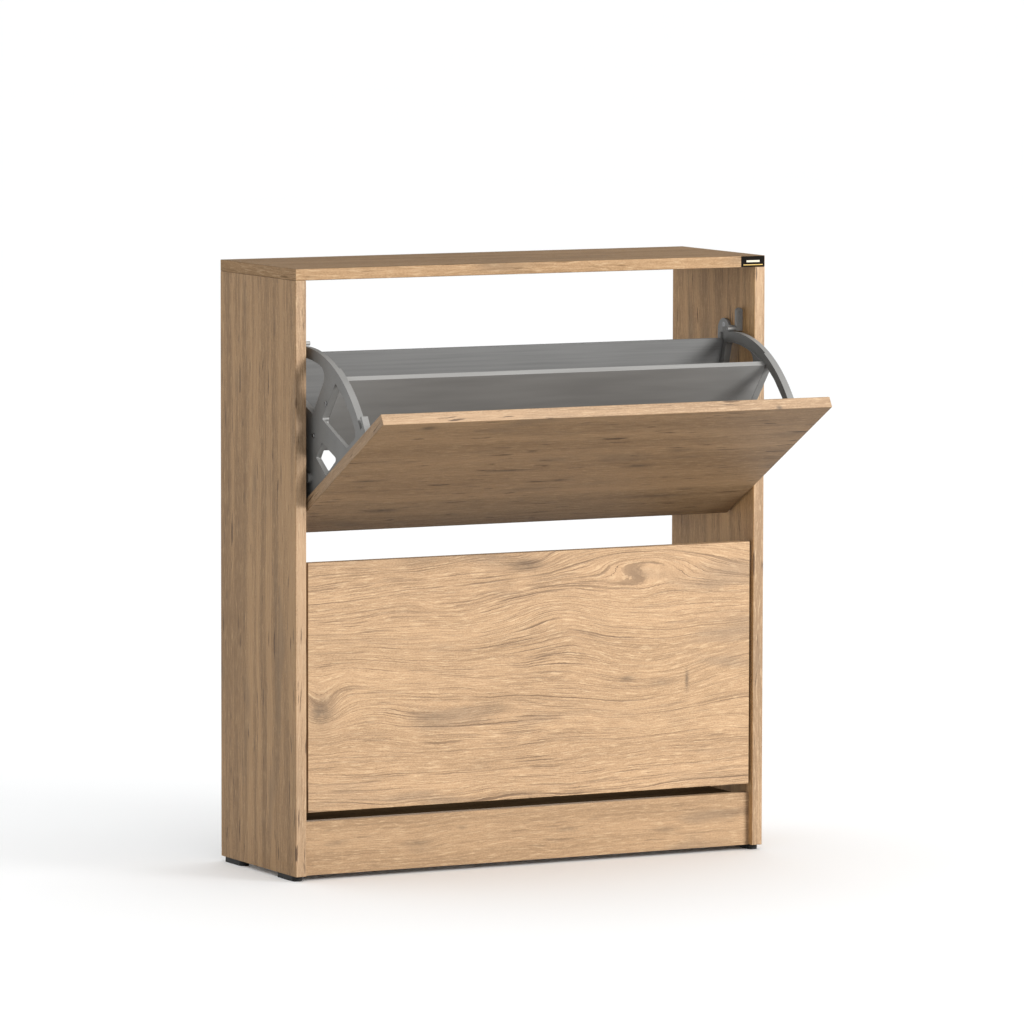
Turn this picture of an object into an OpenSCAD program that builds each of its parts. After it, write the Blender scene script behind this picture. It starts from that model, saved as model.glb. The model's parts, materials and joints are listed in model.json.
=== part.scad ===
// Shoe cabinet with two tilting flaps.
// Frame: +X to the right, the front faces -Y, +Z up, floor at Z = 0.
// The origin is the middle of the whole object's footprint with the upper flap open.
// Flap shapes are drawn closed, about their own pivot: Y towards the rear, Z up.

/* [Cabinet] */
// Overall width of the carcass
cabinet_w = 730; // [600:10:900]
// Overall depth of the carcass
cabinet_d = 240; // [240:5:300]
// Height from the floor to the top face
cabinet_h = 840; // [836:2:880]
// Thickness of the carcass boards and of the doors
board_t = 16; // [15:1:18]
// Height of the plastic glides under the side panels
foot_h = 7; // [5:1:20]

/* [Doors and plinth] */
// Height of the plinth board
plinth_h = 74; // [60:1:76]
// Distance of the plinth behind the front edges of the side panels
plinth_set_back = 10; // [5:1:20]
// Distance of the closed doors behind the front edges of the side panels
door_set_back = 3.5; // [0:0.5:6]
// Gap between a door and the side panel on each side
door_side_gap = 4; // [2:0.5:5]
// Gap over the plinth and gap under the top panel
door_gap = 13.5; // [10:0.5:16]
// Gap between the two closed doors, for the fingers
finger_gap = 30; // [24:1:40]

/* [Flaps] */
// Angle at which the upper flap stands open
open_angle = 60; // [0:5:60]
// Height of the pivot above the lower edge of the door
pivot_up = 60; // [58:1:62]
// Distance of the pivot behind the inner face of the door
pivot_back = 13; // [12:0.5:14]
// Outer radius of the side plate's rim about the pivot
rim_r = 204.5; // [202:0.5:205]
// Thickness of the plastic side plates
plate_t = 10; // [9:0.5:10]
// Space between a side plate and the side panel of the carcass
plate_gap = 11; // [11:0.5:13]

/* [Bin boards] */
// Thickness of the middle divider and of the toe board
divider_t = 8; // [6:1:8]
// Height of the middle divider along its slope
divider_h = 130; // [100:5:135]
// Thickness of the bin's back board
back_t = 4; // [3:0.5:4]
// Height of the bin's back board along its slope
back_h = 142; // [120:2:144]

/* [Hidden] */
$fn = 64;

// Colours
oak = [0.80, 0.63, 0.45];
oak_shaded = [0.74, 0.58, 0.41];
grey_board = [0.46, 0.46, 0.45];
grey_plastic = [0.52, 0.53, 0.54];
black_plastic = [0.06, 0.06, 0.06];
zinc = [0.75, 0.75, 0.76];
beech = [0.83, 0.70, 0.52];

// Carcass
half_w = cabinet_w / 2;
half_d = cabinet_d / 2;
inner_x = half_w - board_t;
side_top = cabinet_h - board_t;
plinth_top = foot_h + plinth_h;
bottom_top = plinth_top - 5;
rail_h = 70;
rail_z = 460;

// Doors
door_w = 2 * (inner_x - door_side_gap);
door_h = (side_top - plinth_top - 2 * door_gap - finger_gap) / 2;
door_inner_y = -half_d + door_set_back + board_t;
pivot_y = door_inner_y + pivot_back;
lower_pivot_z = plinth_top + door_gap + pivot_up;
upper_pivot_z = lower_pivot_z + door_h + finger_gap;

// How far the open door reaches in front of the carcass middle, and the shift that
// brings the middle of the whole footprint to Y = 0
door_outer = pivot_back + board_t;
front_reach = -pivot_y + door_outer * cos(open_angle) + (door_h - pivot_up) * sin(open_angle);
carcass_y = (max(front_reach, half_d) - half_d) / 2;

// Side plates and bin boards
plate_out = inner_x - plate_gap;
plate_in = plate_out - plate_t;
rim_inner_r = rim_r - 15;
slack = 0.3;
slot_angle = 58;
button = [11, 33];
rib_t = 3;
rib_d = 6;
divider_lean = 20.8;
divider_top = [94.4, 169.6];
back_lean = 46;
back_top = [178.7, 78.5];
toe_level = -33;
toe_d = 62;
board_len = 2 * (plate_in - slack);
flange_w = 12;
flange_t = 4;

// Stopper nose: it limits the flap both ways
nose_r = 3;
nose_y = 5;
nose_z = rim_r + 0.5 + nose_r;
nose_in = plate_in - 2;
stopper_t = 4;
stopper_screw = [50, nose_z + 3];
base_t = 3;
base_screws = [[2, 30], [2, 60]];

// Fasteners
pin_r = 3;
screw_r = 1.75;
pilot_r = 1.8;
head_r = 3.6;
door_screw_z = [25, 103, 175];
divider_screw_t = [45, 105];
toe_screw_y = [4, 36];
dowel_r = 4;
dowel_y = [-80, 0, 80];
cam_r = 7.5;
cam_h = 12.5;
cam_reach = 34;
bolt_r = 3.5;

// Points on an arc about the pivot, at the given angles
function on_arc(r, angles) = [for (a = angles) r * [cos(a), sin(a)]];

// Openings of the side plate: corner points, and the radius of each corner. Round the front
// opening and the kite the inner face is recessed, so that the web is only web_t thick there.
web_t = 3.5;
hole_rear = concat([[84, 83], [131, 44.7]], on_arc(rim_inner_r, [26.6, 33, 39, 45, 53]));
hole_rear_r = [4, 9, 7, 30, 30, 30, 14];
hole_front = concat([[65.6, 105]], on_arc(rim_inner_r, [61.9, 71, 81, 90.4]), [[-2, 154]]);
hole_front_r = [3, 3, 30, 30, 8, 3];
hole_kite = [[28, 62.5], [38, 89], [-2, 120], [-6.5, 77]];
hole_kite_r = [2, 2, 4, 2];
recess_front = concat([[62, 101.5]], on_arc(rim_inner_r + 3, [63.2, 71, 81, 91.6]),
                      [[-5.5, 152.5]]);
recess_kite = [[29, 57.5], [42.5, 89.5], [-3, 125], [-8.5, 75.5]];

// Corner i of a closed outline, rounded to radius r with an arc of six steps
function corner(pts, i, r) =
    let (n = len(pts), p = pts[i], a = pts[(i + n - 1) % n] - p, b = pts[(i + 1) % n] - p,
         ua = a / norm(a), ub = b / norm(b), half = acos(ua * ub) / 2,
         mid = p + (ua + ub) / norm(ua + ub) * r / sin(half),
         start = p + ua * r / tan(half) - mid, end = p + ub * r / tan(half) - mid,
         from = atan2(start[1], start[0]), turn = atan2(end[1], end[0]) - from,
         sweep = turn > 180 ? turn - 360 : turn < -180 ? turn + 360 : turn)
    [for (k = [0 : 6]) mid + r * [cos(from + sweep * k / 6), sin(from + sweep * k / 6)]];
function rounded(pts, radii) = [for (i = [0 : len(pts) - 1]) each corner(pts, i, radii[i])];

// Extrudes a profile drawn in Y and Z along +X, from x0 over the given length
module along_x(x0, length) {
    translate([x0, 0, 0]) rotate([90, 0, 90]) linear_extrude(length) children();
}

// Cylinders along each axis, starting at the given point
module rod_x(from, r, length) {
    translate(from) rotate([0, 90, 0]) cylinder(r = r, h = length);
}
module rod_y(from, r, length) {
    translate(from) rotate([-90, 0, 0]) cylinder(r = r, h = length);
}
module rod_z(from, r, length) {
    translate(from) cylinder(r = r, h = length);
}

// Places
module carcass() translate([0, carcass_y, 0]) children();
module at_upper() carcass() translate([0, pivot_y, upper_pivot_z]) children();
module at_lower() carcass() translate([0, pivot_y, lower_pivot_z]) children();
module upper_flap() at_upper() rotate([open_angle, 0, 0]) children();
module lower_flap() at_lower() children();
module left() mirror([1, 0, 0]) children();
module both_sides() {
    children();
    mirror([1, 0, 0]) children();
}

// ---- Carcass -------------------------------------------------------------------------

// Dowel from the top panel into a side panel
module dowel_row(r) {
    for (y = dowel_y) rod_z([half_w - board_t / 2, y, side_top - 22], r, 32);
}

module top_panel() {
    color(oak) carcass() difference() {
        translate([-half_w, -half_d, side_top]) cube([cabinet_w, cabinet_d, board_t]);
        both_sides() dowel_row(dowel_r);
    }
}

// Holes of one side panel: dowels, cam bolts and the screws of the four brackets
module side_panel() {
    difference() {
        translate([inner_x, -half_d, foot_h]) cube([board_t, cabinet_d, side_top - foot_h]);
        dowel_row(dowel_r);
        for (c = cam_spots) rod_x([inner_x - 1, c[0], c[1]], bolt_r, 11);
        for (z = [upper_pivot_z, lower_pivot_z]) translate([0, pivot_y, z]) bracket_shanks(pilot_r);
        for (y = foot_y) rod_z([foot_x, y, foot_h - 1], 1.1, 16);
    }
}
module side_panel_right() color(oak) carcass() side_panel();
module side_panel_left() color(oak) carcass() left() side_panel();

// Cam connectors: middle of each bolt in Y and Z, and the direction of the disc's mouth
cam_spots = [[-60, bottom_top - board_t / 2], [70, bottom_top - board_t / 2],
             [-half_d + plinth_set_back + board_t / 2, foot_h + 25],
             [half_d - board_t / 2, rail_z + rail_h / 2]];
bottom_cams = [cam_spots[0], cam_spots[1]];
plinth_cam = cam_spots[2];
rail_cam = cam_spots[3];

// Bores of a horizontal or upright board for its cam bolts
module bolt_bores(spots) {
    both_sides() for (c = spots) rod_x([inner_x - cam_reach, c[0], c[1]], bolt_r + 0.3, cam_reach + 1);
}

module disc_down(c, r, h) rod_z([inner_x - cam_reach, c[0], bottom_top - board_t], r, h);
module disc_back(c, r, h, back_y) rod_y([inner_x - cam_reach, back_y - h, c[1]], r, h);

module bottom_panel() {
    bottom_y = -half_d + plinth_set_back + board_t;
    color(oak_shaded) carcass() difference() {
        translate([-inner_x, bottom_y, bottom_top - board_t])
            cube([2 * inner_x, half_d - bottom_y, board_t]);
        bolt_bores(bottom_cams);
        both_sides() for (c = bottom_cams) translate([0, 0, -1]) disc_down(c, cam_r, cam_h + 1);
    }
}

module plinth() {
    front = -half_d + plinth_set_back;
    color(oak) carcass() difference() {
        translate([-inner_x, front, foot_h]) cube([2 * inner_x, board_t, plinth_h]);
        bolt_bores([plinth_cam]);
        both_sides() disc_back(plinth_cam, cam_r, cam_h + 1, front + board_t + 1);
    }
}

module rear_rail() {
    color(oak_shaded) carcass() difference() {
        translate([-inner_x, half_d - board_t, rail_z]) cube([2 * inner_x, board_t, rail_h]);
        bolt_bores([rail_cam]);
        both_sides() disc_back(rail_cam, cam_r, cam_h + 1, half_d + 1);
    }
}

// One disc: a round plug with a slot for the bolt's head and a cross recess in its face
module cam_disc() {
    difference() {
        rod_z([0, 0, 0], cam_r - 0.05, cam_h);
        rod_x([-1, 0, cam_h - 4.6], bolt_r + 0.3, cam_r + 2);
        translate([-4, -0.8, -1]) cube([8, 1.6, 3]);
        translate([-0.8, -4, -1]) cube([1.6, 8, 3]);
    }
}

module cam_discs() {
    front_back_y = -half_d + plinth_set_back + board_t;
    color(zinc) carcass() both_sides() {
        for (c = bottom_cams)
            translate([inner_x - cam_reach, c[0], bottom_top - board_t]) cam_disc();
        translate([inner_x - cam_reach, front_back_y, plinth_cam[1]]) rotate([90, 0, 0]) cam_disc();
        translate([inner_x - cam_reach, half_d, rail_cam[1]]) rotate([90, 0, 0]) cam_disc();
    }
}

// Bolts: threaded end in the side panel, a neck, and a ball head inside the disc
module cam_bolts() {
    head_x = inner_x - cam_reach + 1;
    color(zinc) carcass() both_sides() for (c = cam_spots) {
        rod_x([inner_x + 0.2, c[0], c[1]], bolt_r - 0.05, 9);
        rod_x([head_x, c[0], c[1]], 2, inner_x + 0.4 - head_x);
        rod_x([head_x, c[0], c[1]], bolt_r, 3);
    }
}

module dowels() color(beech) carcass() both_sides() dowel_row(dowel_r - 0.03);

// Glides
foot_w = 15;
foot_l = 57;
foot_x = half_w - 0.5 - foot_w / 2;
foot_y = [-half_d + 8 + foot_l / 2, half_d - 7 - foot_l / 2];

// Glide with rounded ends, on its nail; the height is foot_h
module foot(y) {
    end_y = foot_l / 2 - foot_w / 2;
    carcass() translate([foot_x, y, 0]) difference() {
        union() {
            rod_z([0, -end_y, 0], foot_w / 2, foot_h);
            rod_z([0, end_y, 0], foot_w / 2, foot_h);
            translate([-foot_w / 2, -end_y, 0]) cube([foot_w, 2 * end_y, foot_h]);
        }
        rod_z([0, 0, -1], 1.1, foot_h + 2);
        rod_z([0, 0, -1], 3.2, 4);
    }
}
module foot_front_right() color(black_plastic) foot(foot_y[0]);
module foot_front_left() color(black_plastic) left() foot(foot_y[0]);
module foot_rear_right() color(black_plastic) foot(foot_y[1]);
module foot_rear_left() color(black_plastic) left() foot(foot_y[1]);

module foot_nails() {
    color(zinc) carcass() both_sides() for (y = foot_y) {
        rod_z([foot_x, y, 1.6], 3, 1.3);
        rod_z([foot_x, y, 2], 1.05, foot_h + 10);
    }
}

// Blank name plate on the front edge of the top panel
label_w = 37;
label_h = 15;
label_t = 0.8;
module label_plate() {
    color(black_plastic) carcass() translate([half_w - label_w - 1, -half_d - label_t,
                                              side_top + (board_t - label_h) / 2])
        cube([label_w, label_t, label_h]);
}

// ---- Brackets on the side panels -----------------------------------------------------

// Shanks of the bracket screws, from the bracket's face into the side panel
module bracket_shanks(r) {
    rod_x([inner_x - stopper_t, stopper_screw[0], stopper_screw[1]], r, stopper_t + 12);
    for (s = base_screws) rod_x([inner_x - base_t, s[0], s[1]], r, base_t + 12);
}

// Countersunk screw that points along +X, with its head's face at x0
module sunk_screw(x0, s, length) {
    difference() {
        union() {
            translate([x0, s[0], s[1]]) rotate([0, 90, 0])
                cylinder(r1 = head_r, r2 = screw_r, h = 2);
            rod_x([x0, s[0], s[1]], screw_r, length);
        }
        translate([x0 - 1, s[0] - 2, s[1] - 0.4]) cube([1.7, 4, 0.8]);
        translate([x0 - 1, s[0] - 0.4, s[1] - 2]) cube([1.7, 0.8, 4]);
    }
}

// Sink for that screw, a little wider than its head
module sink(x0, s) {
    translate([x0 - 0.2, s[0], s[1]]) rotate([0, 90, 0])
        cylinder(r1 = head_r + 0.25, r2 = pilot_r, h = 2.2);
}

module bracket_screws() {
    both_sides() {
        sunk_screw(inner_x - stopper_t, stopper_screw, stopper_t + 11);
        for (s = base_screws) sunk_screw(inner_x - base_t, s, base_t + 11);
    }
}
module upper_bracket_screws() color(zinc) at_upper() bracket_screws();
module lower_bracket_screws() color(zinc) at_lower() bracket_screws();

// Base on the side panel with the bearing boss for the pivot pin
module pivot_base() {
    x0 = inner_x - base_t;
    boss_x = plate_out + 0.6;
    difference() {
        union() {
            rod_x([x0, 2, 0], 12, base_t);
            rod_x([x0, 2, 60], 12, base_t);
            translate([x0, -10, 0]) cube([base_t, 24, 60]);
            rod_x([boss_x, 0, 0], 5.2, inner_x - boss_x);
        }
        rod_x([boss_x - 1, 0, 0], pin_r + 0.05, inner_x - boss_x + 2);
        bracket_shanks(pilot_r);
        for (s = base_screws) sink(x0, s);
    }
}
module upper_pivot_base_right() color(grey_plastic) at_upper() pivot_base();
module upper_pivot_base_left() color(grey_plastic) at_upper() left() pivot_base();
module lower_pivot_base_right() color(grey_plastic) at_lower() pivot_base();
module lower_pivot_base_left() color(grey_plastic) at_lower() left() pivot_base();

// Stopper: a rounded tab with its screw, a bridge, an upright finger and a nose over the rim
module stopper() {
    x0 = inner_x - stopper_t;
    finger_y = nose_y - nose_r;
    finger_x = plate_out + 1;
    finger_r = (inner_x - finger_x) / 2;
    finger_top = nose_z + 24.5;
    tab_y = [33, 67];
    tab_r = (tab_y[1] - tab_y[0]) / 2;
    tab_z = [nose_z - 17, nose_z - 5];
    difference() {
        union() {
            translate([x0, tab_y[0], tab_z[0]]) cube([stopper_t, 2 * tab_r, tab_z[1] - tab_z[0]]);
            rod_x([x0, (tab_y[0] + tab_y[1]) / 2, tab_z[1]], tab_r, stopper_t);
            translate([x0, finger_y, nose_z - nose_r]) cube([stopper_t, 40, 2 * nose_r]);
            translate([finger_x, finger_y, nose_z - nose_r])
                cube([2 * finger_r, 5, finger_top - nose_z + nose_r]);
            rod_y([finger_x + finger_r, finger_y, finger_top], finger_r, 5);
            rod_x([nose_in, nose_y, nose_z], nose_r, inner_x - nose_in);
        }
        translate([finger_x + finger_r - 1.5, finger_y - 1, nose_z + 6]) cube([3, 2, 18]);
        bracket_shanks(pilot_r);
        sink(x0, stopper_screw);
    }
}
module upper_stopper_right() color(grey_plastic) at_upper() stopper();
module upper_stopper_left() color(grey_plastic) at_upper() left() stopper();
module lower_stopper_right() color(grey_plastic) at_lower() stopper();
module lower_stopper_left() color(grey_plastic) at_lower() left() stopper();

// ---- Flap ----------------------------------------------------------------------------

// Door with the pilot holes for its screws
module door() {
    difference() {
        translate([-door_w / 2, -door_outer, -pivot_up]) cube([door_w, board_t, door_h]);
        both_sides() for (z = door_screw_z)
            rod_y([plate_in - flange_w / 2, -pivot_back - 12, z], pilot_r, 13);
    }
}
module upper_door() color(oak) upper_flap() door();
module lower_door() color(oak) lower_flap() door();

// A board of the bin: it hangs from the middle of its top edge and leans by the given angle
module leaning(top, lean) translate([0, top[0], top[1]]) rotate([-lean, 0, 0]) children();

// Rib on the inner face of a side plate along the end of a leaning board: y is its near face
module rib(y, length) {
    translate([plate_in - rib_d, y, -length]) cube([rib_d + 1, rib_t, length - 6]);
}

// Region of the side plate inside its straight edges
plate_edge = [[-pivot_back, -53], [-pivot_back, 240], [240, 240], [240, 118.3], [68, -48], [60, -53]];

// Stretch of the rim's rear lug, as a ring sector from angle a to angle b
function sector(r0, r1, a, b) = concat(
    [for (k = [0 : 4]) let (s = a + (b - a) * k / 4) [r0 * cos(s), r0 * sin(s)]],
    [for (k = [4 : -1 : 0]) let (s = a + (b - a) * k / 4) [r1 * cos(s), r1 * sin(s)]]);

module opening(hole, radii) {
    along_x(plate_in - 1, plate_t + 2) polygon(rounded(hole, radii));
}
module recess(outline, radii) {
    along_x(plate_in - 1, 1 + plate_t - web_t) polygon(rounded(outline, radii));
}

// Plastic side plate with rim, struts, fork, rear lug, door flange and board ribs
module side_plate() {
    open_stop = atan2(nose_z, nose_y + nose_r) - 60;
    fork_z = nose_z + nose_r + 0.7;
    fork_t = 4;
    fork_y = nose_y - nose_r - slack;
    difference() {
        union() {
            difference() {
                along_x(plate_in, plate_t) intersection() {
                    circle(r = rim_r, $fn = 180);
                    polygon(plate_edge);
                }
                opening(hole_rear, hole_rear_r);
                opening(hole_front, hole_front_r);
                opening(hole_kite, hole_kite_r);
                recess(recess_front, hole_front_r);
                recess(recess_kite, hole_kite_r);
                along_x(plate_in - 1, 3.5)
                    polygon(sector(rim_inner_r + 1, rim_r + 2, 22, slot_angle));
            }
            translate([plate_in, -pivot_back, rim_r - 12])
                cube([plate_t, pivot_back + fork_y, fork_z + fork_t - rim_r + 12]);
            translate([plate_in, -pivot_back, fork_z]) cube([plate_t, 29, fork_t]);
            rod_x([plate_out - 1, button[0], button[1]], 6.5, plate_gap - 4);
            along_x(plate_in + 3, plate_t - 3)
                polygon(sector(rim_r - 6, rim_r + 7, open_stop - 5.6, open_stop - 0.15));
            translate([plate_in - flange_w, -pivot_back, 5])
                cube([flange_w + 1, flange_t, rim_r - 18]);
            leaning(divider_top, divider_lean) rib(divider_t / 2 + slack, divider_h - 4);
            leaning(back_top, back_lean) rib(back_t / 2 + slack, back_h - 4);
            for (z = [toe_level - divider_t / 2 - slack - rib_t, toe_level + divider_t / 2 + slack])
                translate([plate_in - rib_d, flange_t - pivot_back, z])
                    cube([rib_d + 1, toe_d - 12, rib_t]);
        }
        rod_x([plate_in + 2, 0, 0], pin_r + 0.01, plate_t);
        for (z = door_screw_z)
            rod_y([plate_in - flange_w / 2, -pivot_back - 1, z], pilot_r, flange_t + 2);
        board_shanks(1.5, 1);
    }
}
module upper_side_plate_right() color(grey_plastic) upper_flap() side_plate();
module upper_side_plate_left() color(grey_plastic) upper_flap() left() side_plate();
module lower_side_plate_right() color(grey_plastic) lower_flap() side_plate();
module lower_side_plate_left() color(grey_plastic) lower_flap() left() side_plate();

// Screws from the outer face of a side plate into the ends of the divider and toe board
module board_shanks(r, extra) {
    from_x = plate_in - 22;
    length = plate_t + 22 + extra;
    leaning(divider_top, divider_lean) for (t = divider_screw_t) rod_x([from_x, 0, -t], r, length);
    for (y = toe_screw_y) rod_x([from_x, y, toe_level], r, length);
}

module board_heads() {
    leaning(divider_top, divider_lean) for (t = divider_screw_t) screw_head([plate_out, 0, -t]);
    for (y = toe_screw_y) screw_head([plate_out, y, toe_level]);
}

// Pan head with a cross recess, standing on the outer face of a side plate
module screw_head(at) {
    translate(at) difference() {
        union() {
            rod_x([0, 0, 0], 3.2, 1.2);
            translate([1.2, 0, 0]) rotate([0, 90, 0]) cylinder(r1 = 3.2, r2 = 2.2, h = 0.7);
        }
        translate([1, -1.8, -0.4]) cube([2, 3.6, 0.8]);
        translate([1, -0.4, -1.8]) cube([2, 0.8, 3.6]);
    }
}

module board_screws() {
    both_sides() {
        board_shanks(1.45, 0);
        board_heads();
    }
}
module upper_board_screws() color(zinc) upper_flap() board_screws();
module lower_board_screws() color(zinc) lower_flap() board_screws();

module door_screws() {
    both_sides() for (z = door_screw_z) translate([plate_in - flange_w / 2, -pivot_back, z]) {
        rod_y([0, -11, 0], screw_r, 11 + flange_t);
        rod_y([0, flange_t, 0], head_r, 1.8);
    }
}
module upper_door_screws() color(zinc) upper_flap() door_screws();
module lower_door_screws() color(zinc) lower_flap() door_screws();

module divider() {
    difference() {
        leaning(divider_top, divider_lean)
            translate([-board_len / 2, -divider_t / 2, -divider_h])
                cube([board_len, divider_t, divider_h]);
        both_sides() board_shanks(1.5, 0);
    }
}
module upper_divider() color(grey_board) upper_flap() divider();
module lower_divider() color(grey_board) lower_flap() divider();

module back_board() {
    leaning(back_top, back_lean) translate([-board_len / 2, -back_t / 2, -back_h])
        cube([board_len, back_t, back_h]);
}
module upper_back_board() color(grey_board) upper_flap() back_board();
module lower_back_board() color(grey_board) lower_flap() back_board();

module toe_board() {
    difference() {
        translate([-board_len / 2, -pivot_back + slack, toe_level - divider_t / 2])
            cube([board_len, toe_d, divider_t]);
        both_sides() board_shanks(1.5, 0);
    }
}
module upper_toe_board() color(grey_board) upper_flap() toe_board();
module lower_toe_board() color(grey_board) lower_flap() toe_board();

// Steel pin, fixed in the side plate and turning in the pivot base
module pivot_pin() rod_x([plate_in + 2, 0, 0], pin_r, inner_x - 0.6 - plate_in - 2);
module upper_pivot_pin_right() color(zinc) upper_flap() pivot_pin();
module upper_pivot_pin_left() color(zinc) upper_flap() left() pivot_pin();
module lower_pivot_pin_right() color(zinc) lower_flap() pivot_pin();
module lower_pivot_pin_left() color(zinc) lower_flap() left() pivot_pin();

top_panel();
side_panel_left();
side_panel_right();
bottom_panel();
plinth();
rear_rail();
foot_front_left();
foot_front_right();
foot_rear_left();
foot_rear_right();
foot_nails();
dowels();
cam_bolts();
cam_discs();
label_plate();
upper_pivot_base_left();
upper_pivot_base_right();
upper_stopper_left();
upper_stopper_right();
upper_bracket_screws();
lower_pivot_base_left();
lower_pivot_base_right();
lower_stopper_left();
lower_stopper_right();
lower_bracket_screws();
upper_door();
upper_side_plate_left();
upper_side_plate_right();
upper_divider();
upper_back_board();
upper_toe_board();
upper_pivot_pin_left();
upper_pivot_pin_right();
upper_door_screws();
upper_board_screws();
lower_door();
lower_side_plate_left();
lower_side_plate_right();
lower_divider();
lower_back_board();
lower_toe_board();
lower_pivot_pin_left();
lower_pivot_pin_right();
lower_door_screws();
lower_board_screws();
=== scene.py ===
import bpy, bmesh, json, math
from mathutils import Matrix, Vector


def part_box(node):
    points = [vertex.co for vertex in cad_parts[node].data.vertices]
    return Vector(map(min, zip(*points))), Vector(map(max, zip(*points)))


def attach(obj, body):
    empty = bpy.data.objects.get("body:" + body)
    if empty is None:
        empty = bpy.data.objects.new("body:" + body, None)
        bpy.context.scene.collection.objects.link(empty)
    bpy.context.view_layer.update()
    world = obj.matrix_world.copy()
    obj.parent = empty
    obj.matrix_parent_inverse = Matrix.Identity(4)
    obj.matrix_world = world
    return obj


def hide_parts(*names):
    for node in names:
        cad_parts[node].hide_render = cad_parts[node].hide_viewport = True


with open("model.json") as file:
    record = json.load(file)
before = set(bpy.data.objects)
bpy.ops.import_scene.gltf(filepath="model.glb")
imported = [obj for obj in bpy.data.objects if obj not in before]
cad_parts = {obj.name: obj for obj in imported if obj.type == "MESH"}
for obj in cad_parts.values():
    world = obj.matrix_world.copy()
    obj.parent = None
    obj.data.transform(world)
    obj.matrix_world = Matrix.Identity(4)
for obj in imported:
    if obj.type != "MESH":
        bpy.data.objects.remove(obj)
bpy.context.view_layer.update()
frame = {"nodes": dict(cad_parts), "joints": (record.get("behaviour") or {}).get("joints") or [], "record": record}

X, Y, Z = 0, 1, 2


# ---- Shader graph helpers -------------------------------------------------------------

class Graph:
    """Short calls for building one material's node tree."""

    def __init__(self, name):
        self.material = bpy.data.materials.new(name)
        self.material.use_nodes = True
        self.tree = self.material.node_tree
        self.shader = self.tree.nodes["Principled BSDF"]

    def put(self, socket, value):
        if isinstance(value, bpy.types.NodeSocket):
            self.tree.links.new(value, socket)
        else:
            socket.default_value = value

    def node(self, kind, inputs, **settings):
        n = self.tree.nodes.new("ShaderNode" + kind)
        for key, value in settings.items():
            setattr(n, key, value)
        for key, value in inputs.items():
            self.put(n.inputs[key], value)
        return n

    def math(self, operation, a, b=0.0, c=0.0):
        return self.node("Math", {0: a, 1: b, 2: c}, operation=operation).outputs[0]

    def add(self, a, b):
        return self.math("ADD", a, b)

    def mul(self, a, b):
        return self.math("MULTIPLY", a, b)

    def vec(self, x, y, z):
        return self.node("CombineXYZ", {0: x, 1: y, 2: z}).outputs[0]

    def step(self, value, low, high, to_low=0.0, to_high=1.0):
        """Smooth step from to_low at low to to_high at high."""
        return self.node("MapRange", {0: value, 1: low, 2: high, 3: to_low, 4: to_high},
                         interpolation_type="SMOOTHSTEP").outputs[0]

    def noise(self, vector, detail=2.0, rough=0.5, scale=1.0):
        return self.node("TexNoise", {"Vector": vector, "Scale": scale, "Detail": detail,
                                      "Roughness": rough}).outputs[0]

    def mix(self, factor, a, b, blend="MIX"):
        """Mix of two colours, which are the node's inputs 6 and 7 and its output 2."""
        n = self.tree.nodes.new("ShaderNodeMix")
        n.data_type = "RGBA"
        n.blend_type = blend
        self.put(n.inputs[0], factor)
        self.put(n.inputs[6], a)
        self.put(n.inputs[7], b)
        return n.outputs[2]

    def coords(self, grain, across, thick):
        """Places along and across the grain, and the masks of both broad faces and of the one
        that faces the negative side of the thickness."""
        tex = self.node("TexCoord", {})
        place = self.node("SeparateXYZ", {0: tex.outputs["Object"]}).outputs
        facing = self.node("SeparateXYZ", {0: tex.outputs["Normal"]}).outputs
        end = self.math("GREATER_THAN", self.math("ABSOLUTE", facing[grain]), 0.7)
        g = self.node("Mix", {0: end, 2: place[grain], 3: place[across]}).outputs[0]
        a = self.node("Mix", {0: end, 2: place[across], 3: place[grain]}).outputs[0]
        face = self.math("GREATER_THAN", self.math("ABSOLUTE", facing[thick]), 0.7)
        negative = self.math("LESS_THAN", facing[thick], -0.7)
        return g, self.add(a, place[thick]), face, negative

    def finish(self, color, roughness, height, relief, normal=None):
        """Material with a bump as deep as relief, in metres, over the given normal."""
        self.put(self.shader.inputs["Base Color"], color)
        self.put(self.shader.inputs["Roughness"], roughness)
        bump = self.node("Bump", {"Strength": 1.0, "Distance": relief, "Height": height})
        if normal is not None:
            self.put(bump.inputs["Normal"], normal)
        self.put(self.shader.inputs["Normal"], bump.outputs[0])
        return self.material


def rgb(r, g, b):
    return (r, g, b, 1.0)


def warm_tone(level, warmth):
    """Factor for a colour; warmth takes a little green and three times as much blue away."""
    return rgb(level, level * (1 - 0.045 * warmth), level * (1 - 0.14 * warmth))


# ---- Oak décor ------------------------------------------------------------------------

OAK_CREAM = rgb(0.450, 0.318, 0.192)
OAK_PALE = rgb(0.370, 0.240, 0.136)
OAK_MID = rgb(0.238, 0.148, 0.079)
OAK_LINE = rgb(0.098, 0.056, 0.029)
OAK_GREY = rgb(0.142, 0.102, 0.070)
OAK_KNOT = rgb(0.085, 0.056, 0.034)


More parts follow.
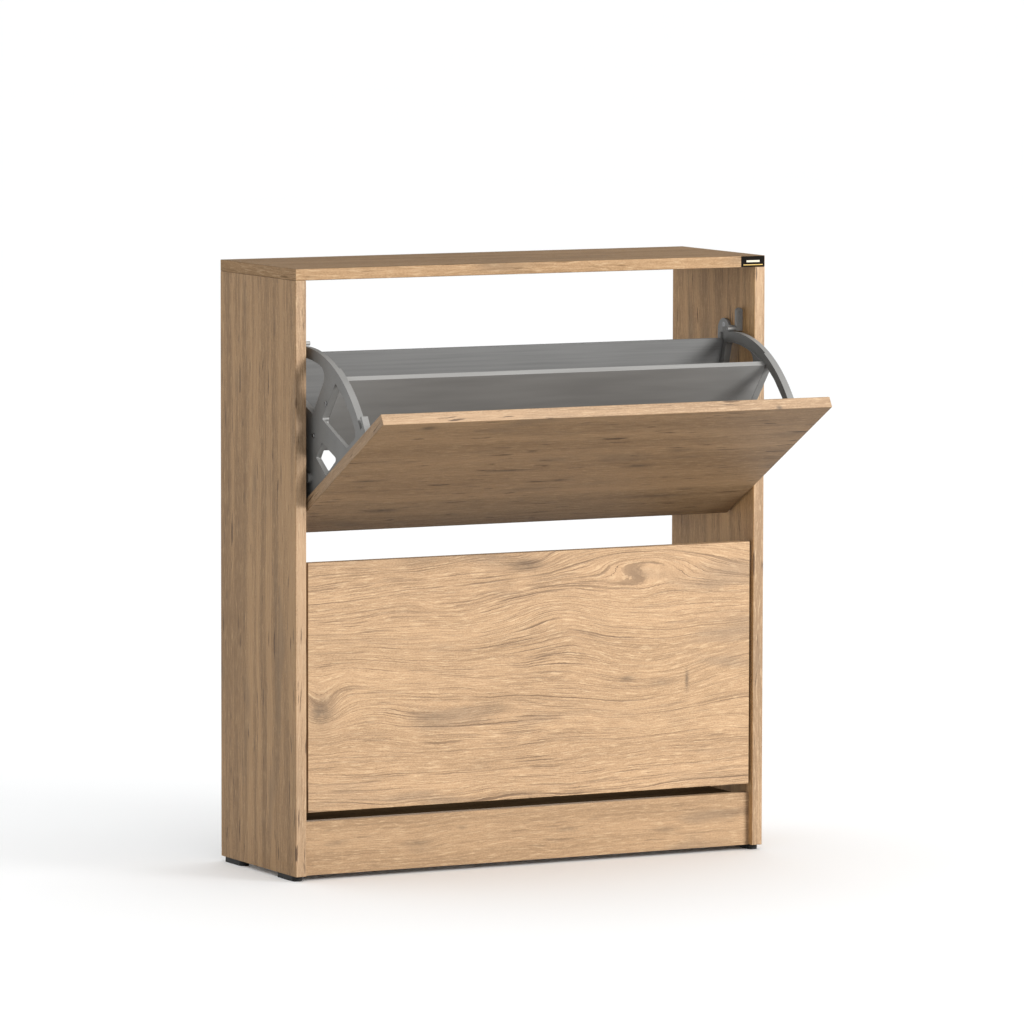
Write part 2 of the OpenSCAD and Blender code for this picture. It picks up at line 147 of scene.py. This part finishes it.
def growth_field(n, g, a, seed, swirl, marks):
    """Field whose contours are the growth lines, and the strength of the dark marks.

    Each mark is its place along and across the grain, its half length, half width, lift of
    the field and darkness.
    """
    def waves(along, across, depth, shift):
        """Shift of the field by up to half the depth, with so many waves a metre."""
        wave = n.noise(n.vec(n.mul(g, along), n.mul(a, across), seed + shift), 1.0)
        return n.mul(n.add(wave, -0.5), depth)

    field = n.add(a, waves(1.9, 5.0, swirl, 0.0))
    field = n.add(field, waves(6.5, 15.0, swirl * 0.30, 3.1))
    field = n.add(field, waves(21.0, 40.0, swirl * 0.045, 4.3))
    field = n.add(field, waves(60.0, 160.0, 0.0012, 5.7))
    field = n.add(field, waves(240.0, 420.0, 0.0010, 7.3))
    stain = 0.0
    for at, over, half_g, half_a, lift, dark in marks:
        near = n.vec(n.mul(n.add(g, -at), 1 / half_g), n.mul(n.add(a, -over), 1 / half_a), 0.0)
        far = n.node("VectorMath", {0: near, 1: near}, operation="DOT_PRODUCT").outputs["Value"]
        if lift:
            field = n.add(field, n.mul(n.math("EXPONENT", n.mul(far, -1.0)), lift))
        if dark:
            stain = n.add(stain, n.mul(n.math("EXPONENT", n.mul(far, -3.0)), dark))
    return field, stain


def oak(name, axes, seed, swirl, lines, cracks, marks=(), bands=34, streaks=1.6,
        face=(1.0, 1.0), edge_tone=1.0, inner_painted_light=None, shine=0.28):
    """Printed oak: growth lines follow the contours of a warped field.

    axes are the directions along the grain, across it and through the board. swirl is the
    depth of the large waves in metres, lines the strength of the dark growth lines and
    cracks that of the short dark splits. bands is the number of broad bands in a metre and
    streaks their strength. The broad faces get the tone and warmth of face and the edge
    bands edge_tone: painted shade, making each board darker or lighter for how the light
    falls on its faces. inner is the tone and warmth of the broad face on the negative side,
    where that differs: painted light, brightening that face against the shade inside.
    """
    n = Graph(name)
    g, a, broad, negative = n.coords(*axes)
    field, stain = growth_field(n, g, a, seed, swirl, marks)

    def along(fg, fh, detail, shift, rough=0.5):
        """Noise that follows the growth lines, with fg waves a metre along and fh across."""
        return n.noise(n.vec(n.mul(g, fg), n.mul(field, fh), seed + shift), detail, rough)

    def threads(fg, fh, width, shift):
        """Thin lines where a slow noise passes its middle value."""
        level = n.math("ABSOLUTE", n.add(along(fg, fh, 1.0, shift), -0.5))
        return n.step(level, width * 0.2, width, 1.0, 0.0)

    band = along(1.3, bands, 2.0, 11.0)
    streak = along(8.0, 240.0, 3.0, 13.0, 0.6)
    fibre = along(45.0, 560.0, 3.0, 17.0, 0.7)
    grit = n.noise(n.vec(n.mul(g, 330.0), n.mul(a, 620.0), seed), 2.0, 0.7)
    growth = n.mul(threads(0.9, 200.0, 0.016, 23.0),
                   n.step(along(11.0, 70.0, 2.0, 29.0), 0.32, 0.56))
    thin = n.mul(threads(1.6, 400.0, 0.036, 31.0),
                 n.step(along(18.0, 110.0, 1.0, 37.0), 0.36, 0.56))
    glint = n.step(along(42.0, 430.0, 2.0, 59.0, 0.7), 0.50, 0.70, 0.0, 0.66)
    drawn = n.mul(n.math("MAXIMUM", growth, n.mul(thin, 0.70)), lines)
    split = n.mul(n.step(along(14.0, 170.0, 2.0, 41.0), 0.645, 0.70), cracks)
    blotch = n.noise(n.vec(n.mul(g, 5.0), n.mul(a, 21.0), seed + 47.0), 2.0)
    blotch = n.step(blotch, 0.56, 0.74, 0.0, 0.42)

    shade = n.add(0.5, n.mul(n.add(band, -0.5), streaks))
    shade = n.add(shade, n.mul(n.add(streak, -0.5), 0.9 * math.sqrt(streaks)))
    shade = n.add(shade, n.mul(n.add(fibre, -0.5), 1.3))
    shade = n.add(shade, n.mul(n.add(grit, -0.5), 1.7))
    color = n.mix(n.step(shade, -0.15, 1.15), OAK_PALE, OAK_MID)
    color = n.mix(glint, color, OAK_CREAM)
    color = n.mix(blotch, color, OAK_GREY)
    if marks:
        fuzz = n.noise(n.vec(n.mul(g, 110.0), n.mul(a, 210.0), seed + 53.0), 2.0)
        color = n.mix(n.mul(stain, n.step(fuzz, 0.25, 0.6, 0.6, 1.0)), color, OAK_KNOT)
    color = n.mix(n.mul(drawn, 0.85), color, OAK_LINE)
    color = n.mix(split, color, OAK_LINE)
    # Painted shade and light: the tone darkens or lightens each board's broad faces, edge bands and, where given,
    # negative-side face for how the light falls on them.
    tone = n.mix(broad, rgb(edge_tone, edge_tone, edge_tone), warm_tone(*face))
    if inner_painted_light:
        tone = n.mix(negative, tone, warm_tone(*inner_painted_light))
    color = n.mix(1.0, color, tone, "MULTIPLY")
    height = n.add(n.mul(fibre, 0.5), n.mul(n.math("MAXIMUM", drawn, split), -1.0))
    roughness = n.add(0.56, n.mul(n.add(fibre, -0.5), 0.16))
    n.put(n.shader.inputs["Specular IOR Level"], shine)
    return n.finish(color, roughness, height, 0.00012)


# ---- Plain materials ------------------------------------------------------------------

def plastic(name, color, roughness, relief, edge, mottle=0.10, shine=0.4):
    """Moulded plastic: fine spark-eroded texture, soft mottling and worn-in round edges.

    relief is the depth of the texture and edge the radius of the edges, in metres.
    """
    n = Graph(name)
    place = n.node("TexCoord", {}).outputs["Object"]
    cloud = n.noise(place, 3.0, 0.55, 26.0)
    speck = n.noise(place, 2.0, 0.6, 1500.0)
    pale = rgb(*(min(1.0, c * (1 + mottle)) for c in color))
    deep = rgb(*(c * (1 - mottle) for c in color))
    shade = n.add(n.mul(cloud, 0.6), n.mul(speck, 0.4))
    mixed = n.mix(n.step(shade, 0.3, 0.7), deep, pale)
    rough = n.add(roughness, n.mul(n.add(n.noise(place, 2.0, 0.5, 60.0), -0.5), 0.12))
    n.put(n.shader.inputs["Specular IOR Level"], shine)
    round_edge = n.node("Bevel", {"Radius": edge}, samples=4).outputs[0]
    return n.finish(mixed, rough, speck, relief, round_edge)


def foil(name, color, roughness):
    """Grey foil on the bin boards: faint streaks along the board and a fine emboss."""
    n = Graph(name)
    place = n.node("SeparateXYZ", {0: n.node("TexCoord", {}).outputs["Object"]}).outputs
    depth = n.add(place[Y], place[Z])
    streak = n.noise(n.vec(n.mul(place[X], 7.0), n.mul(depth, 420.0), 2.0), 2.0)
    cloud = n.noise(n.vec(n.mul(place[X], 3.0), n.mul(depth, 9.0), 5.0), 2.0)
    emboss = n.noise(n.vec(n.mul(place[X], 900.0), n.mul(depth, 1100.0), 0.0), 1.0)
    pale = rgb(*(c * 1.10 for c in color))
    deep = rgb(*(c * 0.90 for c in color))
    shade = n.add(n.mul(streak, 0.5), n.mul(cloud, 0.5))
    mixed = n.mix(n.step(shade, 0.35, 0.65), deep, pale)
    rough = n.add(roughness, n.mul(n.add(cloud, -0.5), 0.15))
    round_edge = n.node("Bevel", {"Radius": 0.0006}, samples=4).outputs[0]
    return n.finish(mixed, rough, n.add(emboss, streak), 0.00004, round_edge)


def zinc(name, dark, bright):
    """Zinc-plated steel with a faint spangle and turning marks."""
    n = Graph(name)
    place = n.node("TexCoord", {}).outputs["Object"]
    cloud = n.noise(place, 3.0, 0.6, 320.0)
    marks = n.noise(place, 1.0, 0.5, 2400.0)
    mixed = n.mix(cloud, rgb(dark, dark, dark * 1.02), rgb(bright, bright, bright * 0.99))
    rough = n.add(0.30, n.mul(n.add(cloud, -0.5), 0.25))
    n.put(n.shader.inputs["Metallic"], 1.0)
    return n.finish(mixed, rough, marks, 0.00002)


def beech(name):
    """Compressed beech of the dowels: pink-tan with short dark flecks."""
    n = Graph(name)
    place = n.node("SeparateXYZ", {0: n.node("TexCoord", {}).outputs["Object"]}).outputs
    spot = n.vec(n.mul(place[X], 900.0), n.mul(place[Y], 900.0), n.mul(place[Z], 120.0))
    fleck = n.noise(spot, 2.0)
    mixed = n.mix(n.step(fleck, 0.35, 0.7), rgb(0.56, 0.38, 0.23), rgb(0.36, 0.21, 0.12))
    rough = n.add(0.55, n.mul(n.add(fleck, -0.5), 0.2))
    return n.finish(mixed, rough, fleck, 0.00008)


def floor_paint(name):
    """Matt white studio floor with a barely visible roller texture."""
    n = Graph(name)
    place = n.node("TexCoord", {}).outputs["Object"]
    cloud = n.noise(place, 2.0, 0.5, 1.4)
    roller = n.noise(place, 2.0, 0.5, 300.0)
    mixed = n.mix(cloud, rgb(0.946, 0.954, 0.958), rgb(0.966, 0.974, 0.978))
    rough = n.add(0.85, n.mul(n.add(cloud, -0.5), 0.1))
    n.put(n.shader.inputs["Specular IOR Level"], 0.1)
    return n.finish(mixed, rough, roller, 0.00002)


# ---- Bevelled boards ------------------------------------------------------------------

BOARD_ROUNDING = 0.0009
PLATE_ROUNDING = 0.00025
RULE_ROUNDING = 0.0001


def add_object(name, mesh, material, place=None):
    mesh.materials.append(material)
    piece = bpy.data.objects.new(name, mesh)
    piece.matrix_world = place or Matrix()
    bpy.context.scene.collection.objects.link(piece)
    return piece


def bevelled_box(bm, low, high, radius, segments):
    """Box between two corners with rounded edges."""
    made = bmesh.ops.create_cube(bm, size=1.0)["verts"]
    low, high = Vector(low), Vector(high)
    for v in made:
        v.co = Vector([(low[i] + high[i]) / 2 + v.co[i] * (high[i] - low[i]) for i in range(3)])
    edges = list({e for v in made for e in v.link_edges})
    bmesh.ops.bevel(bm, geom=edges, offset=radius, segments=segments, profile=0.5,
                    affect="EDGES", clamp_overlap=True)


def to_mesh(name, bm):
    bmesh.ops.recalc_face_normals(bm, faces=bm.faces)
    mesh = bpy.data.meshes.new(name)
    bm.to_mesh(mesh)
    bm.free()
    return mesh


def board(name, node, body, material, size=None, place=None):
    """Board with banded, softly rounded edges in place of the plain node.

    size gives its low and high corners where the node doesn't lie square in the frame.
    """
    low, high = size or [Vector(p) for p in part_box(node)]
    bm = bmesh.new()
    bevelled_box(bm, low, high, BOARD_ROUNDING, 3)
    piece = add_object(name, to_mesh(name, bm), material, place)
    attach(piece, body)
    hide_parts(node)
    return piece


def doors(upper_material, lower_material):
    """Both doors have the closed lower door's size, each about its own hinge; the upper one
    is open as far as its hinge lets it."""
    hinge = {j["child"]: j for j in frame["joints"]}
    pivot = {body: Vector(j["pos_m"]) for body, j in hinge.items()}
    size = [Vector(p) - pivot["lower_flap"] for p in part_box("lower_door")]
    open_angle = -hinge["upper_flap"]["range_deg"][0]
    turned = Matrix.Rotation(math.radians(open_angle), 4, "X")
    board("upper_door_board", "upper_door", "upper_flap", upper_material, size,
          Matrix.Translation(pivot["upper_flap"]) @ turned)
    board("lower_door_board", "lower_door", "lower_flap", lower_material, size,
          Matrix.Translation(pivot["lower_flap"]))


# ---- Name plate -----------------------------------------------------------------------

def bar_on_plate(name, material, low, high, margin, bottom, top):
    """Slim raised bar, margin short of the plate's ends, between two heights over its foot."""
    face = low.y + PLATE_ROUNDING
    bm = bmesh.new()
    bevelled_box(bm, (low.x + margin, low.y, low.z + bottom),
                 (high.x - margin, face + 2 * RULE_ROUNDING, low.z + top), RULE_ROUNDING, 2)
    return add_object(name, to_mesh(name, bm), material)


def name_plate(dark, gold, pale):
    """Blank plate with a raised gold rule and a plain pale bar, no lettering."""
    low, high = (Vector(p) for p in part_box("label_plate"))
    bm = bmesh.new()
    bevelled_box(bm, (low.x, low.y + PLATE_ROUNDING, low.z), high, PLATE_ROUNDING, 2)
    plate = add_object("name_plate", to_mesh("name_plate", bm), dark)
    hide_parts("label_plate")
    rule = bar_on_plate("name_plate_rule", gold, low, high, 0.003, 0.0022, 0.0034)
    bar = bar_on_plate("name_plate_bar", pale, low, high, 0.008, 0.0064, 0.0092)
    for piece in (plate, rule, bar):
        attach(piece, "carcass")


# ---- Light, floor and camera ----------------------------------------------------------

def look(at, toward):
    return (Vector(toward) - Vector(at)).to_track_quat("-Z", "Y").to_matrix().to_4x4()


def softbox(name, at, toward, size, power):
    light = bpy.data.lights.new(name, "AREA")
    light.shape = "RECTANGLE"
    light.size, light.size_y = size
    light.energy = power
    lamp = bpy.data.objects.new(name, light)
    bpy.context.scene.collection.objects.link(lamp)
    lamp.matrix_world = Matrix.Translation(at) @ look(at, toward)
    return lamp


WORLD_STRENGTH = 1.05
FLOOR_REACH = 60.0


def studio():
    """White surroundings, pale floor, a key softbox that misses the floor and a weak one for
    the soft shadow."""
    world = bpy.data.worlds.new("studio")
    bpy.context.scene.world = world
    world.use_nodes = True
    sky = world.node_tree.nodes["Background"]
    sky.inputs["Color"].default_value = rgb(1.0, 1.0, 1.0)
    sky.inputs["Strength"].default_value = WORLD_STRENGTH
    mesh = bpy.data.meshes.new("floor")
    mesh.from_pydata([(x * FLOOR_REACH, y * FLOOR_REACH, 0.0)
                      for x, y in ((-1, -1), (1, -1), (1, 1), (-1, 1))], [], [(0, 1, 2, 3)])
    floor = add_object("floor", mesh, floor_paint("floor_paint"))
    softbox("shadow_light", at=(3.2, -4.0, 3.0), toward=(0.0, 0.0, 0.30), size=(2.2, 2.2), power=70)
    key = softbox("key", at=(3.1, -4.4, 2.7), toward=(0.0, 0.0, 0.40), size=(2.2, 1.8), power=590)
    shielded = bpy.data.collections.new("shielded_from_key")
    shielded.objects.link(floor)
    shielded.collection_objects[0].light_linking.link_state = "EXCLUDE"
    key.light_linking.receiver_collection = shielded


CAMERA_PLACE = (-4.7611, -9.1217, 1.4672)
CAMERA_YAW, CAMERA_PITCH, CAMERA_ROLL = -27.4131, 5.4074, 0.1188
CAMERA_LENS = 262.49


def camera():
    """Long lens, front left, a little above the top of the cabinet."""
    yaw, pitch, roll = map(math.radians, (CAMERA_YAW, CAMERA_PITCH, CAMERA_ROLL))
    back = Vector((math.sin(yaw) * math.cos(pitch), -math.cos(yaw) * math.cos(pitch), math.sin(pitch)))
    level = Vector((math.cos(yaw), math.sin(yaw), 0))
    upright = back.cross(level)
    right = math.cos(roll) * level + math.sin(roll) * upright
    up = math.cos(roll) * upright - math.sin(roll) * level
    data = bpy.data.cameras.new("camera")
    data.sensor_width = 36.0
    data.lens = CAMERA_LENS
    data.clip_start = 0.1
    data.clip_end = 80.0
    cam = bpy.data.objects.new("camera", data)
    bpy.context.scene.collection.objects.link(cam)
    turn = Matrix((right, up, back)).transposed().to_4x4()
    cam.matrix_world = Matrix.Translation(CAMERA_PLACE) @ turn
    bpy.context.scene.camera = cam


# ---- Assembly -------------------------------------------------------------------------

# Marks in the print: place along and across the grain, half length, half width, lift, darkness
LOWER_MARKS = [
    (-0.010, 0.238, 0.046, 0.014, 0.006, 0.80),
    (0.195, 0.242, 0.130, 0.030, -0.030, 0.0),
    (0.045, 0.170, 0.070, 0.045, -0.018, 0.0),
    (-0.325, 0.050, 0.034, 0.034, 0.026, 0.80),
    (-0.160, 0.030, 0.050, 0.016, 0.005, 0.45),
    (-0.055, 0.040, 0.050, 0.014, -0.004, 0.40),
    (0.170, 0.060, 0.110, 0.044, 0.026, 0.0),
    (0.150, 0.070, 0.020, 0.007, 0.0, 0.75),
    (0.205, 0.062, 0.040, 0.009, 0.0, 0.45),
    (0.245, 0.064, 0.005, 0.024, 0.0, 0.80),
    (-0.170, 0.252, 0.060, 0.016, 0.003, 0.40),
    (-0.300, 0.120, 0.080, 0.034, -0.014, 0.0),
]
UPPER_MARKS = [
    (-0.270, 0.238, 0.020, 0.009, 0.003, 0.90),
    (-0.073, 0.149, 0.012, 0.006, 0.002, 0.80),
    (-0.250, 0.132, 0.026, 0.005, 0.002, 0.45),
    (-0.083, 0.089, 0.060, 0.006, 0.004, 0.85),
    (0.119, 0.086, 0.034, 0.008, 0.003, 0.85),
    (-0.292, 0.074, 0.044, 0.006, 0.003, 0.85),
    (0.014, 0.050, 0.024, 0.006, 0.002, 0.80),
    (0.164, 0.132, 0.040, 0.011, 0.004, 0.55),
    (-0.226, -0.026, 0.038, 0.009, 0.003, 0.85),
    (0.198, -0.019, 0.080, 0.006, 0.003, 0.65),
    (0.262, 0.256, 0.008, 0.006, 0.0, 0.85),
]
SIDE_MARKS = [
    (0.700, 0.030, 0.030, 0.005, 0.003, 0.70),
    (0.560, -0.060, 0.050, 0.006, 0.004, 0.75),
    (0.430, 0.055, 0.022, 0.006, 0.003, 0.70),
    (0.300, -0.020, 0.060, 0.010, 0.005, 0.50),
    (0.170, 0.070, 0.030, 0.005, 0.002, 0.75),
    (0.110, -0.070, 0.040, 0.006, 0.003, 0.70),
]
PLINTH_MARKS = [
    (-0.300, 0.052, 0.030, 0.007, 0.003, 0.45),
    (-0.175, 0.045, 0.040, 0.009, 0.003, 0.50),
    (-0.105, 0.062, 0.012, 0.005, 0.001, 0.45),
    (0.060, 0.050, 0.030, 0.006, 0.002, 0.40),
    (0.215, 0.040, 0.036, 0.008, 0.003, 0.45),
]
# Directions along the grain, across it and through the board
LENGTHWAYS, UPRIGHT, FLAT = (X, Z, Y), (Z, Y, X), (X, Y, Z)


def boards_of_oak():
    return {
        "lower_door": oak("oak_lower_door", LENGTHWAYS, seed=4.0, swirl=0.066, lines=1.0,
                          cracks=0.15, marks=LOWER_MARKS, bands=22, streaks=1.1,
                          face=(0.98, 0.3), edge_tone=0.94),
        # Painted shade: the broad faces made darker for the shaded underside of the open door.
        "upper_door": oak("oak_upper_door_painted_shade", LENGTHWAYS, seed=21.0, swirl=0.026, lines=0.45,
                          cracks=1.0, marks=UPPER_MARKS, streaks=2.0,
                          face=(0.64, 1.0), edge_tone=0.76),
        # Painted shade: the broad faces made darker for the shade on the left side's outer face.
        "side_left": oak("oak_side_left_painted_shade", UPRIGHT, seed=33.0, swirl=0.034, lines=0.45,
                         cracks=1.0, marks=SIDE_MARKS, bands=42, streaks=4.4,
                         face=(0.84, 1.7), edge_tone=0.82),
        # Painted light: the inner broad face made brighter (inner) against the shade inside the cabinet.
        "side_right": oak("oak_side_right_painted_light", UPRIGHT, seed=39.0, swirl=0.034, lines=0.45,
                          cracks=1.0, marks=SIDE_MARKS, bands=42, streaks=3.8,
                          face=(0.84, 0.6), edge_tone=0.82, inner_painted_light=(1.42, 1.9)),
        "across": oak("oak_across", LENGTHWAYS, seed=45.0, swirl=0.030, lines=0.38,
                      cracks=0.40, marks=PLINTH_MARKS, face=(0.84, 0.6), edge_tone=0.86),
        # Painted shade: the top's broad faces made darker for the light that falls on the top.
        "top": oak("oak_top_painted_shade", FLAT, seed=57.0, swirl=0.024, lines=0.40, cracks=0.70,
                   face=(0.50, 0.6), edge_tone=0.86, shine=0.01),
        # Painted shade: the bottom panel made dark for the shadow in the gap over the plinth.
        "bottom": oak("oak_bottom_painted_shade", FLAT, seed=63.0, swirl=0.024, lines=0.40, cracks=0.70,
                      face=(0.38, 1.0), edge_tone=0.70, shine=0.0),
    }


def other_materials():
    return {
        "flap": plastic("flap_plastic", (0.138, 0.136, 0.130), roughness=0.50,
                        relief=0.00003, edge=0.0008),
        "bracket": plastic("bracket_plastic", (0.200, 0.198, 0.191), roughness=0.46,
                           relief=0.00003, edge=0.0006),
        "black": plastic("black_plastic", (0.010, 0.010, 0.010), roughness=0.50,
                         relief=0.00005, edge=0.0008, mottle=0.25, shine=0.2),
        "label": plastic("label_black", (0.006, 0.005, 0.004), roughness=0.60,
                         relief=0.00001, edge=0.0002, mottle=0.20, shine=0.02),
        "gold": plastic("label_gold", (0.42, 0.27, 0.06), roughness=0.35,
                        relief=0.00001, edge=0.0001),
        "pale": plastic("label_pale", (0.40, 0.37, 0.29), roughness=0.40,
                        relief=0.00001, edge=0.0001),
        "board": foil("grey_foil", (0.166, 0.163, 0.156), roughness=0.50),
        # Painted shade: a darker copy of the grey foil for the back boards, against the key light on them.
        "back": foil("grey_foil_back_painted_shade", (0.118, 0.117, 0.114), roughness=0.55),
        "zinc": zinc("zinc_steel", dark=0.48, bright=0.70),
        "dull_zinc": zinc("dull_zinc_steel", dark=0.20, bright=0.32),
        "beech": beech("beech"),
    }


def dress(node, material):
    for slot in frame["nodes"][node].material_slots:
        slot.material = material


# Material of each of the record's slots, and of the nodes that differ from their slot
BY_SLOT = {"flap_plastic": "flap", "bracket_plastic": "bracket", "black_plastic": "black",
           "grey_board": "board", "zinc_steel": "zinc", "beech": "beech",
           "oak_melamine": "across", "label_black": "label"}
BY_NODE = {"upper_bracket_screws": "dull_zinc", "lower_bracket_screws": "dull_zinc",
           "upper_board_screws": "dull_zinc", "lower_board_screws": "dull_zinc",
           "upper_back_board": "back", "lower_back_board": "back", "bottom_panel": "bottom"}


def assemble():
    mat = {**boards_of_oak(), **other_materials()}
    for part in frame["record"]["subparts"]:
        node = part["node"]
        dress(node, mat[BY_NODE.get(node, BY_SLOT[part["material_slot"]])])
    board("top_board", "top_panel", "carcass", mat["top"])
    board("side_board_left", "side_panel_left", "carcass", mat["side_left"])
    board("side_board_right", "side_panel_right", "carcass", mat["side_right"])
    doors(mat["upper_door"], mat["lower_door"])
    name_plate(mat["label"], mat["gold"], mat["pale"])


assemble()
studio()
camera()
bpy.context.scene.view_settings.view_transform = "Standard"
